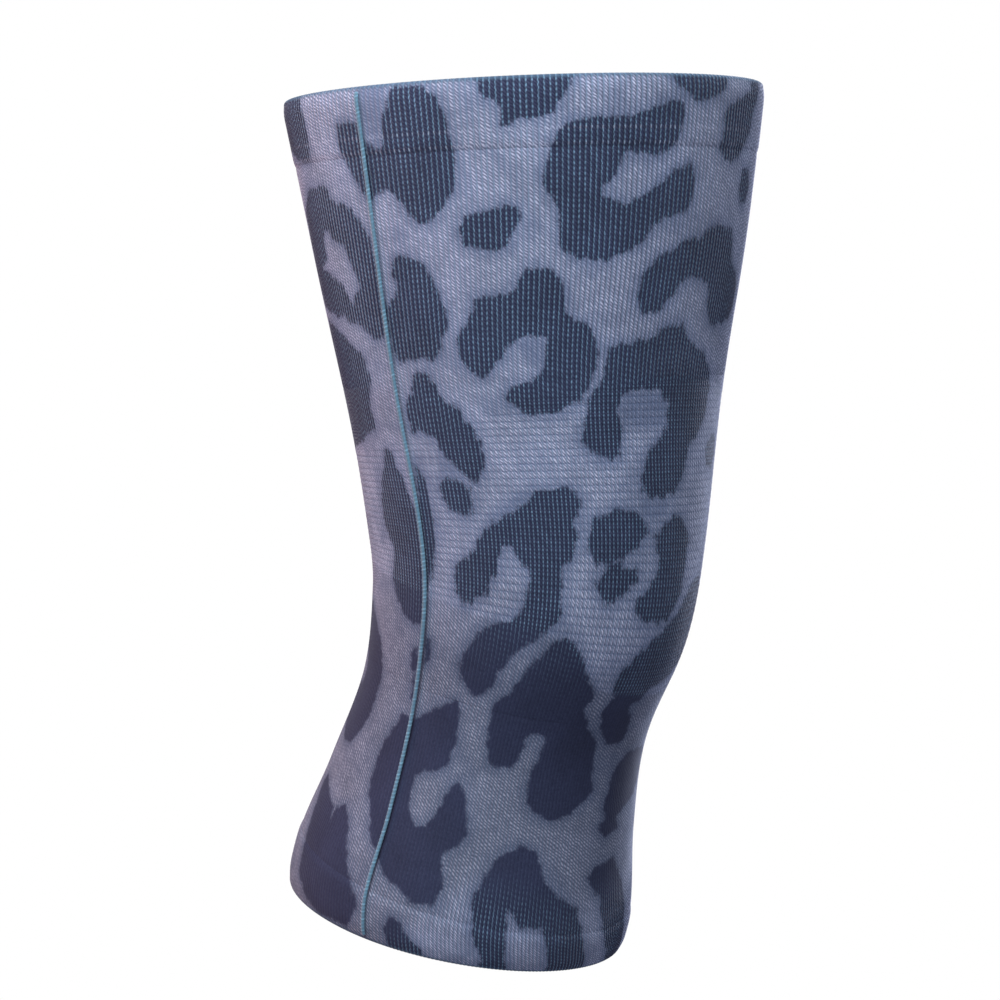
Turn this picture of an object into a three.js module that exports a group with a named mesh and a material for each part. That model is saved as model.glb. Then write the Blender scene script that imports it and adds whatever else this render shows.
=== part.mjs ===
// A knee sleeve: a shaped tube of elastic rib knit in the form that it takes on a slightly bent leg, with a
// doubled hem round each opening and one raised seam down the outer side.
//
// Units are millimetres. +Z runs up the leg, -Y is the front of the knee, and the origin is the middle of
// the knee, inside the tube. A place on the sleeve is given by three values: along, the distance up the
// middle line from the knee; azimuth, the angle round the leg from the front towards +X; and inset, the depth
// under the outer face of the hems.
import * as THREE from "three";

// Driving sizes
const lengthAboveKnee = 167;
const lengthBelowKnee = 106;
const thighWidth = 156;
const kneeWidth = 106;
const calfWidth = 108;
const knitThickness = 1.5;
const thighHemDepth = 22;
const calfHemDepth = 17;
const hemStep = 0.3;
const rimRoll = 1.2;
const rimRollDepth = 6;
const seamWidth = 1.8;
const seamHeight = 0.9;
const pieceGap = 0.3;

// Worked out from the driving sizes
const hemThickness = 2 * knitThickness;
const thighRim = lengthAboveKnee;
const calfRim = -lengthBelowKnee;
const thighHemLine = thighRim - thighHemDepth;
const calfHemLine = calfRim + calfHemDepth;

// How finely the curved walls are cut
const roundSteps = 48;
const tubeRows = 34;
const hemRows = 5;
const rimArcSteps = 4;
const seamSteps = 64;
const seamSides = 8;
const middleSteps = 48;

// Cross-sections from the thigh's rim to the calf's. at is the share of the length above the knee, or of the
// length below it where negative. width is the named size that the section follows, and side, front and back
// are the reaches from the middle line, as shares of half that size. lean is how far the middle line leans
// back going up, and seam is the azimuth of the side seam, both in degrees.
const sections = [
  { at: 1.0, width: thighWidth, side: 1.0, front: 1.0, back: 1.0, lean: 3, seam: -91 },
  { at: 0.7, width: thighWidth, side: 0.9, front: 0.9, back: 0.88, lean: 2, seam: -91.4 },
  { at: 0.4, width: thighWidth, side: 0.78, front: 0.78, back: 0.76, lean: 2.5, seam: -92.7 },
  { at: 0.15, width: kneeWidth, side: 1.02, front: 1.05, back: 1.03, lean: -3, seam: -89.5 },
  { at: 0.0, width: kneeWidth, side: 0.96, front: 1.0, back: 0.97, lean: -13, seam: -88 },
  { at: -0.3, width: kneeWidth, side: 0.9, front: 0.88, back: 0.92, lean: -16, seam: -87.4 },
  { at: -0.6, width: kneeWidth, side: 0.95, front: 0.93, back: 1.02, lean: -16, seam: -85.8 },
  { at: -0.85, width: calfWidth, side: 1.02, front: 1.02, back: 1.08, lean: -18, seam: -84.3 },
  { at: -1.0, width: calfWidth, side: 1.02, front: 1.02, back: 1.1, lean: -14, seam: -81.5 },
];

// Low swellings and hollows on that form. at is a share as above, azimuth is in degrees, rise is a share of
// half the knee's width, spread is the half angle that it covers in degrees, and run is the half length that
// it covers, as a share of the knee's width.
const swellings = [
  { name: "kneecap", at: 0.05, azimuth: 0, rise: 0.05, spread: 34, run: 0.3 },
  { name: "hollow behind the knee", at: 0.0, azimuth: 180, rise: -0.06, spread: 36, run: 0.32 },
];

const radians = THREE.MathUtils.degToRad;
const fullTurn = 2 * Math.PI;

// The along value of a share of the length above or below the knee.
function alongAt(share) {
  return share * (share < 0 ? lengthBelowKnee : lengthAboveKnee);
}

// A smooth curve through one value of every section, as a function of along.
function curveThrough(valueOf) {
  const rows = sections.map((section) => ({ x: alongAt(section.at), y: valueOf(section) })).reverse();
  const slopes = rows.map((_, i) => {
    const before = rows[Math.max(i - 1, 0)];
    const after = rows[Math.min(i + 1, rows.length - 1)];
    return (after.y - before.y) / (after.x - before.x);
  });
  return (along) => {
    const found = rows.findIndex((row) => row.x > along);
    const i = found < 0 ? rows.length - 2 : Math.max(found - 1, 0);
    const step = rows[i + 1].x - rows[i].x;
    const t = (along - rows[i].x) / step;
    const start = (1 + 2 * t) * (1 - t) ** 2 * rows[i].y + t * (1 - t) ** 2 * step * slopes[i];
    const end = t ** 2 * (3 - 2 * t) * rows[i + 1].y + t ** 2 * (t - 1) * step * slopes[i + 1];
    return start + end;
  };
}

const sideReach = curveThrough((section) => (section.side * section.width) / 2);
const frontReach = curveThrough((section) => (section.front * section.width) / 2);
const backReach = curveThrough((section) => (section.back * section.width) / 2);
const leanAt = curveThrough((section) => radians(section.lean));
const seamAzimuthAt = curveThrough((section) => radians(section.seam));

// The point of the middle line at a distance along it from the knee.
function middleAt(along) {
  const point = new THREE.Vector3();
  for (let i = 0; i < middleSteps; i++) {
    const lean = leanAt(((i + 0.5) / middleSteps) * along);
    point.y += (Math.sin(lean) * along) / middleSteps;
    point.z += (Math.cos(lean) * along) / middleSteps;
  }
  return point;
}

// The outward reach that the swellings add at a place on the sleeve.
function swellingAt(along, azimuth) {
  return swellings.reduce((sum, { at, azimuth: centre, rise, spread, run }) => {
    const turned = THREE.MathUtils.euclideanModulo(azimuth - radians(centre) + Math.PI, fullTurn) - Math.PI;
    const away = Math.hypot(turned / radians(spread), (along - alongAt(at)) / (run * kneeWidth));
    return sum + ((rise * kneeWidth) / 2) * Math.exp(-(away ** 2));
  }, 0);
}

// The outline of the cross-section at an azimuth, in its own plane: x to the side and y towards the front.
function outlineAt(along, azimuth) {
  const forward = Math.cos(azimuth) > 0 ? frontReach(along) : backReach(along);
  const outline = new THREE.Vector2(sideReach(along) * Math.sin(azimuth), forward * Math.cos(azimuth));
  return outline.multiplyScalar(1 + swellingAt(along, azimuth) / outline.length());
}

// The point at an inset under the outer face of the sleeve.
function placeAt(along, azimuth, inset) {
  const nudge = 1e-3;
  const outline = outlineAt(along, azimuth);
  const chord = outlineAt(along, azimuth + nudge).sub(outlineAt(along, azimuth - nudge)).normalize();
  const side = outline.x + chord.y * inset;
  const forward = outline.y - chord.x * inset;
  const lean = leanAt(along);
  return middleAt(along).add(new THREE.Vector3(side, -forward * Math.cos(lean), forward * Math.sin(lean)));
}

// Moves every vertex of a straight geometry to its place on the leg.
function wrapOnLeg(geometry, placeOf) {
  const position = geometry.getAttribute("position");
  const vertex = new THREE.Vector3();
  for (let i = 0; i < position.count; i++) {
    vertex.fromBufferAttribute(position, i);
    const { along, azimuth, inset } = placeOf(vertex);
    vertex.copy(placeAt(along, azimuth, inset));
    position.setXYZ(i, vertex.x, vertex.y, vertex.z);
  }
  geometry.computeVertexNormals();
  return geometry;
}

// A closed band round the leg, turned as a plain ring and then wrapped. profile lists the points of the
// wall's section as [along, inset], once round.
function bandGeometry(profile) {
  const ringRadius = thighWidth / 2;
  const loop = [...profile, profile[0]];
  const points = loop.map(([along, inset]) => new THREE.Vector2(ringRadius - inset, along));
  return wrapOnLeg(new THREE.LatheGeometry(points, roundSteps), (vertex) => ({
    along: vertex.y,
    azimuth: Math.atan2(vertex.x, vertex.z),
    inset: ringRadius - Math.hypot(vertex.x, vertex.z),
  }));
}

// Values from first to last in equal steps, both ends included.
function evenly(first, last, steps) {
  return Array.from({ length: steps + 1 }, (_, i) => first + ((last - first) * i) / steps);
}

// The wall of the single-layer tube, from one hem's line to the other's.
function tubeProfile() {
  const rows = evenly(calfHemLine + pieceGap / 2, thighHemLine - pieceGap / 2, tubeRows);
  const outside = rows.map((along) => [along, hemStep]);
  const inside = rows.map((along) => [along, hemStep + knitThickness]).reverse();
  return [...outside, ...inside];
}

// How far the outer face of a hem has rolled inwards at a distance from its rim.
function rollAt(fromRim) {
  return rimRoll * Math.max(0, 1 - fromRim / rimRollDepth) ** 2;
}

// The wall of a doubled hem, from its line on the tube to the folded rim. side is 1 for the hem above the
// tube and -1 for the one below it.
function hemProfile(line, rim, side) {
  const fold = hemThickness / 2;
  const rows = evenly(line + (side * pieceGap) / 2, rim - side * fold, hemRows);
  const outside = rows.map((along) => [along, rollAt(side * (rim - along))]);
  const inside = rows.map((along) => [along, hemThickness + rollAt(side * (rim - along))]).reverse();
  const turns = evenly(0, Math.PI, rimArcSteps).slice(1, -1);
  const rimFold = turns.map((turn) => [
    rim - side * fold * (1 - Math.sin(turn)),
    rollAt(fold) + fold * (1 - Math.cos(turn)),
  ]);
  const loop = [...outside, ...rimFold, ...inside];
  return side > 0 ? loop : loop.reverse();
}

// The raised cord of the side seam, which lies on the tube and on both hems from rim to rim. It is extruded
// straight, with x round the leg towards -X, y out of the face and z along it, and then wrapped.
function seamGeometry() {
  const start = calfRim + rimRollDepth / 2;
  const depth = thighRim - rimRollDepth / 2 - start;
  const rounds = evenly(0, fullTurn, seamSides).slice(0, -1);
  const halfSize = new THREE.Vector2(seamWidth / 2, seamHeight / 2);
  const section = new THREE.Shape(
    rounds.map((turn) => new THREE.Vector2(Math.cos(turn), Math.sin(turn)).multiply(halfSize)),
  );
  const cord = new THREE.ExtrudeGeometry(section, { depth, steps: seamSteps, bevelEnabled: false });
  return wrapOnLeg(cord, (vertex) => {
    const along = start + vertex.z;
    const centre = seamAzimuthAt(along);
    return {
      along,
      azimuth: centre - vertex.x / outlineAt(along, centre).length(),
      inset: -(pieceGap + seamHeight / 2 + vertex.y),
    };
  });
}

const knitFinish = { color: 0x686b86, roughness: 0.9, metalness: 0 };
const seamFinish = { color: 0x5f8ca0, roughness: 0.85, metalness: 0 };

// A named mesh of one piece.
function piece(name, geometry, finish) {
  const mesh = new THREE.Mesh(geometry, new THREE.MeshStandardMaterial(finish));
  mesh.name = name;
  return mesh;
}

const kneeSleeve = new THREE.Group();
kneeSleeve.name = "knee_sleeve";
kneeSleeve.add(
  piece("knit_tube", bandGeometry(tubeProfile()), knitFinish),
  piece("thigh_hem", bandGeometry(hemProfile(thighHemLine, thighRim, 1)), knitFinish),
  piece("calf_hem", bandGeometry(hemProfile(calfHemLine, calfRim, -1)), knitFinish),
  piece("side_seam", seamGeometry(), seamFinish),
);

export default kneeSleeve;
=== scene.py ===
"""A printed knee sleeve of elastic rib knit, in the form that it takes on a slightly bent leg.

Sizes are in millimetres, as on the part, until a mesh is finished in metres. +Z runs up the leg, -Y is the front
of the knee, and the origin is the middle of the knee. A place on the sleeve is given by along, the distance up
the middle line from the knee, azimuth, the angle round the leg from the front towards +X, and inset, the depth
under the outer face of the hems.
"""
import logging
import math
from dataclasses import dataclass
from enum import Enum
from typing import Any, Callable

import bmesh
import bpy
import numpy as np
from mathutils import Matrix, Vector


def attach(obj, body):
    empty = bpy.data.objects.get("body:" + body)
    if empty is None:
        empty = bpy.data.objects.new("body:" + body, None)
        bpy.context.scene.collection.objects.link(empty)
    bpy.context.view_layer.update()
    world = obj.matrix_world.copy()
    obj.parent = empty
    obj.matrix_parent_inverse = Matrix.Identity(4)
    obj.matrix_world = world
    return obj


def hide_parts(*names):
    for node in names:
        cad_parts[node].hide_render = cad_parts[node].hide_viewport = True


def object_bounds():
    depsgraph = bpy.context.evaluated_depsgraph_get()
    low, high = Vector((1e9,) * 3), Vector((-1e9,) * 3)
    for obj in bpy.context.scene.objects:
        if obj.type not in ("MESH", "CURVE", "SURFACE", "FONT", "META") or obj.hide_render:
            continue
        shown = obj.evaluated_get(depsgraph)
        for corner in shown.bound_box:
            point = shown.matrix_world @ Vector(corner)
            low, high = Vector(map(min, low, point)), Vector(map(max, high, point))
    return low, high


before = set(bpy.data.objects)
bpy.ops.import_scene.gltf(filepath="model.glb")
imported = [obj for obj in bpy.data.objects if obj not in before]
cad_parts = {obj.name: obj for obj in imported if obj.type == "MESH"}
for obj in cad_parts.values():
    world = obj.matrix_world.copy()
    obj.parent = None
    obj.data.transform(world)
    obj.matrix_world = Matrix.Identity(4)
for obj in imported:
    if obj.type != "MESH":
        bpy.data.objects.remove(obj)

cad_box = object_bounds()
log = logging.getLogger("knee_sleeve")
METRES = 0.001
# How far the ends of two stretches of the tube, and of the tube and a hem, lie over each other, in millimetres
TUCKED = 0.6
HEM_LAP = 0.4
# How near two vertices are welded, in millimetres, and how many places are worked out at a time
WELD = 0.002
BLOCK = 20000
# Settings that many nodes share, and the mean of a noise
SMOOTH = {"interpolation_type": "SMOOTHSTEP"}
COLOUR = {"data_type": "RGBA"}
NOISE_MIDDLE = 0.5


def linear(hex_colour: str) -> tuple[float, float, float, float]:
    """Turn an sRGB hex colour to linear light.

    Args:
        hex_colour: Six hex digits after a #.

    Returns:
        Red, green, blue and an alpha of 1.
    """
    shares = [int(hex_colour[i : i + 2], 16) / 255 for i in (1, 3, 5)]
    lit = [c / 12.92 if c <= 0.04045 else ((c + 0.055) / 1.055) ** 2.4 for c in shares]
    return (lit[0], lit[1], lit[2], 1.0)


def ease(values: np.ndarray, low: float, high: float) -> np.ndarray:
    """A smooth step at each value, from 0 at low to 1 at high."""
    share = np.clip((values - low) / (high - low), 0, 1)
    return share * share * (3 - 2 * share)


class Width(Enum):
    """The named width that a section of the sleeve follows."""

    THIGH = "thigh"
    KNEE = "knee"
    CALF = "calf"


class Tone(Enum):
    """What a patch of the print lays on the ground colour."""

    DARK = "dark"
    LIGHT = "light"
    HAZE = "haze"


@dataclass(frozen=True)
class Section:
    """One cross-section: reaches are shares of half the named width, lean and seam are degrees."""

    at: float
    width: Width
    side: float
    front: float
    back: float
    lean: float
    seam: float


@dataclass(frozen=True)
class Swelling:
    """A low rise or hollow: its middle, its rise as a share of half the knee, and what it covers."""

    at: float
    azimuth: float
    rise: float
    spread: float
    run: float


@dataclass(frozen=True)
class LegForm:
    """The outer face of the sleeve as worn, from the same sizes and sections as the part."""

    length_above_knee: float = 167.0
    length_below_knee: float = 106.0
    thigh_width: float = 156.0
    knee_width: float = 106.0
    calf_width: float = 108.0
    middle_steps: int = 48
    sections: tuple[Section, ...] = (
        Section(1.0, Width.THIGH, 1.00, 1.00, 1.00, 3, -91),
        Section(0.7, Width.THIGH, 0.90, 0.90, 0.88, 2, -91.4),
        Section(0.4, Width.THIGH, 0.78, 0.78, 0.76, 2.5, -92.7),
        Section(0.15, Width.KNEE, 1.02, 1.05, 1.03, -3, -89.5),
        Section(0.0, Width.KNEE, 0.96, 1.00, 0.97, -13, -88),
        Section(-0.3, Width.KNEE, 0.90, 0.88, 0.92, -16, -87.4),
        Section(-0.6, Width.KNEE, 0.95, 0.93, 1.02, -16, -85.8),
        Section(-0.85, Width.CALF, 1.02, 1.02, 1.08, -18, -84.3),
        Section(-1.0, Width.CALF, 1.02, 1.02, 1.10, -14, -81.5),
    )
    swellings: tuple[Swelling, ...] = (
        Swelling(0.05, 0, 0.05, 34, 0.3),
        Swelling(0.0, 180, -0.06, 36, 0.32),
    )

    def along_at(self, share: float) -> float:
        """The along value of a share of the length above or below the knee."""
        return share * (self.length_below_knee if share < 0 else self.length_above_knee)

    def half_width(self, width: Width) -> float:
        """Half of a named width."""
        widths = {Width.THIGH: self.thigh_width, Width.KNEE: self.knee_width, Width.CALF: self.calf_width}
        return widths[width] / 2

    def curve(self, value_of: Callable[[Section], float], along: np.ndarray) -> np.ndarray:
        """Read a smooth curve through one value of every section.

        Args:
            value_of: The value that a section gives.
            along: Where the curve is read.

        Returns:
            The curve's value at each along.
        """
        rows = sorted((self.along_at(section.at), value_of(section)) for section in self.sections)
        x = np.array([row[0] for row in rows])
        y = np.array([row[1] for row in rows])
        before, after = np.maximum(np.arange(len(x)) - 1, 0), np.minimum(np.arange(len(x)) + 1, len(x) - 1)
        slope = (y[after] - y[before]) / (x[after] - x[before])
        i = np.clip(np.searchsorted(x, along, side="right") - 1, 0, len(x) - 2)
        step = x[i + 1] - x[i]
        t = (along - x[i]) / step
        start = (1 + 2 * t) * (1 - t) ** 2 * y[i] + t * (1 - t) ** 2 * step * slope[i]
        return start + t**2 * (3 - 2 * t) * y[i + 1] + t**2 * (t - 1) * step * slope[i + 1]

    def lean(self, along: np.ndarray) -> np.ndarray:
        """How far the middle line leans back going up, in radians."""
        return np.radians(self.curve(lambda s: s.lean, along))

    def seam(self, along: np.ndarray) -> np.ndarray:
        """The azimuth of the side seam, in radians."""
        return np.radians(self.curve(lambda s: s.seam, along))

    def middle(self, along: np.ndarray) -> tuple[np.ndarray, np.ndarray]:
        """Follow the middle line, which leans as the leg does.

        Args:
            along: Distances along it from the knee.

        Returns:
            The y and z of its points.
        """
        shares = (np.arange(self.middle_steps) + 0.5) / self.middle_steps
        leans = [self.lean(share * along) for share in shares]
        run = along / self.middle_steps
        return sum(np.sin(lean) for lean in leans) * run, sum(np.cos(lean) for lean in leans) * run

    def outline(self, along: np.ndarray, azimuth: np.ndarray) -> tuple[np.ndarray, np.ndarray]:
        """Find the outline of cross-sections, in their own planes.

        Args:
            along: Which cross-sections.
            azimuth: Angles round the leg, in radians.

        Returns:
            The reach to the side and the reach towards the front.
        """
        side = self.curve(lambda s: s.side * self.half_width(s.width), along) * np.sin(azimuth)
        front = self.curve(lambda s: s.front * self.half_width(s.width), along)
        back = self.curve(lambda s: s.back * self.half_width(s.width), along)
        forward = np.where(np.cos(azimuth) > 0, front, back) * np.cos(azimuth)
        rise = np.zeros(np.broadcast(along, azimuth).shape)
        for swell in self.swellings:
            turned = (azimuth - math.radians(swell.azimuth) + math.pi) % math.tau - math.pi
            across = (along - self.along_at(swell.at)) / (swell.run * self.knee_width)
            away = (turned / math.radians(swell.spread)) ** 2 + across**2
            rise = rise + swell.rise * self.knee_width / 2 * np.exp(-away)
        grown = 1 + rise / np.hypot(side, forward)
        return side * grown, forward * grown

    def place(self, along: np.ndarray, azimuth: np.ndarray, inset: np.ndarray) -> np.ndarray:
        """Find points under or over the outer face.

        Args:
            along: Distances up the middle line.
            azimuth: Angles round the leg, in radians.
            inset: Depths under the outer face, negative outside it.

        Returns:
            The points, with x, y and z last.
        """
        nudge = 1e-3
        side, forward = self.outline(along, azimuth)
        side_after, forward_after = self.outline(along, azimuth + nudge)
        side_before, forward_before = self.outline(along, azimuth - nudge)
        chord = np.stack([side_after - side_before, forward_after - forward_before])
        chord = chord / np.hypot(*chord)
        side = side + chord[1] * inset
        forward = forward - chord[0] * inset
        lean = self.lean(along)
        middle_y, middle_z = self.middle(along)
        return np.stack([side, middle_y - forward * np.cos(lean), middle_z + forward * np.sin(lean)], axis=-1)

    def millimetres_a_degree(self, along: np.ndarray) -> np.ndarray:
        """Measure the outside of cross-sections, round the leg.

        Args:
            along: Which cross-sections.

        Returns:
            The length that one degree covers, as a mean of the round.
        """
        side = self.curve(lambda s: s.side * self.half_width(s.width), along)
        front = self.curve(lambda s: s.front * self.half_width(s.width), along)
        back = self.curve(lambda s: s.back * self.half_width(s.width), along)
        return math.radians(1) * (2 * side + front + back) / 4


@dataclass(frozen=True)
class Patch:
    """One closed outline of the print: azimuth in degrees and along in millimetres at each corner."""

    tone: Tone
    outline: tuple[tuple[float, float], ...]


def dark(*outline: tuple[float, float]) -> Patch:
    """A dark spot of the print."""
    return Patch(Tone.DARK, outline)


def light(*outline: tuple[float, float]) -> Patch:
    """An opening that shows the ground colour inside a dark spot."""
    return Patch(Tone.LIGHT, outline)


def haze(*outline: tuple[float, float]) -> Patch:
    """A soft patch of a tone between the ground and the spots."""
    return Patch(Tone.HAZE, outline)


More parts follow.
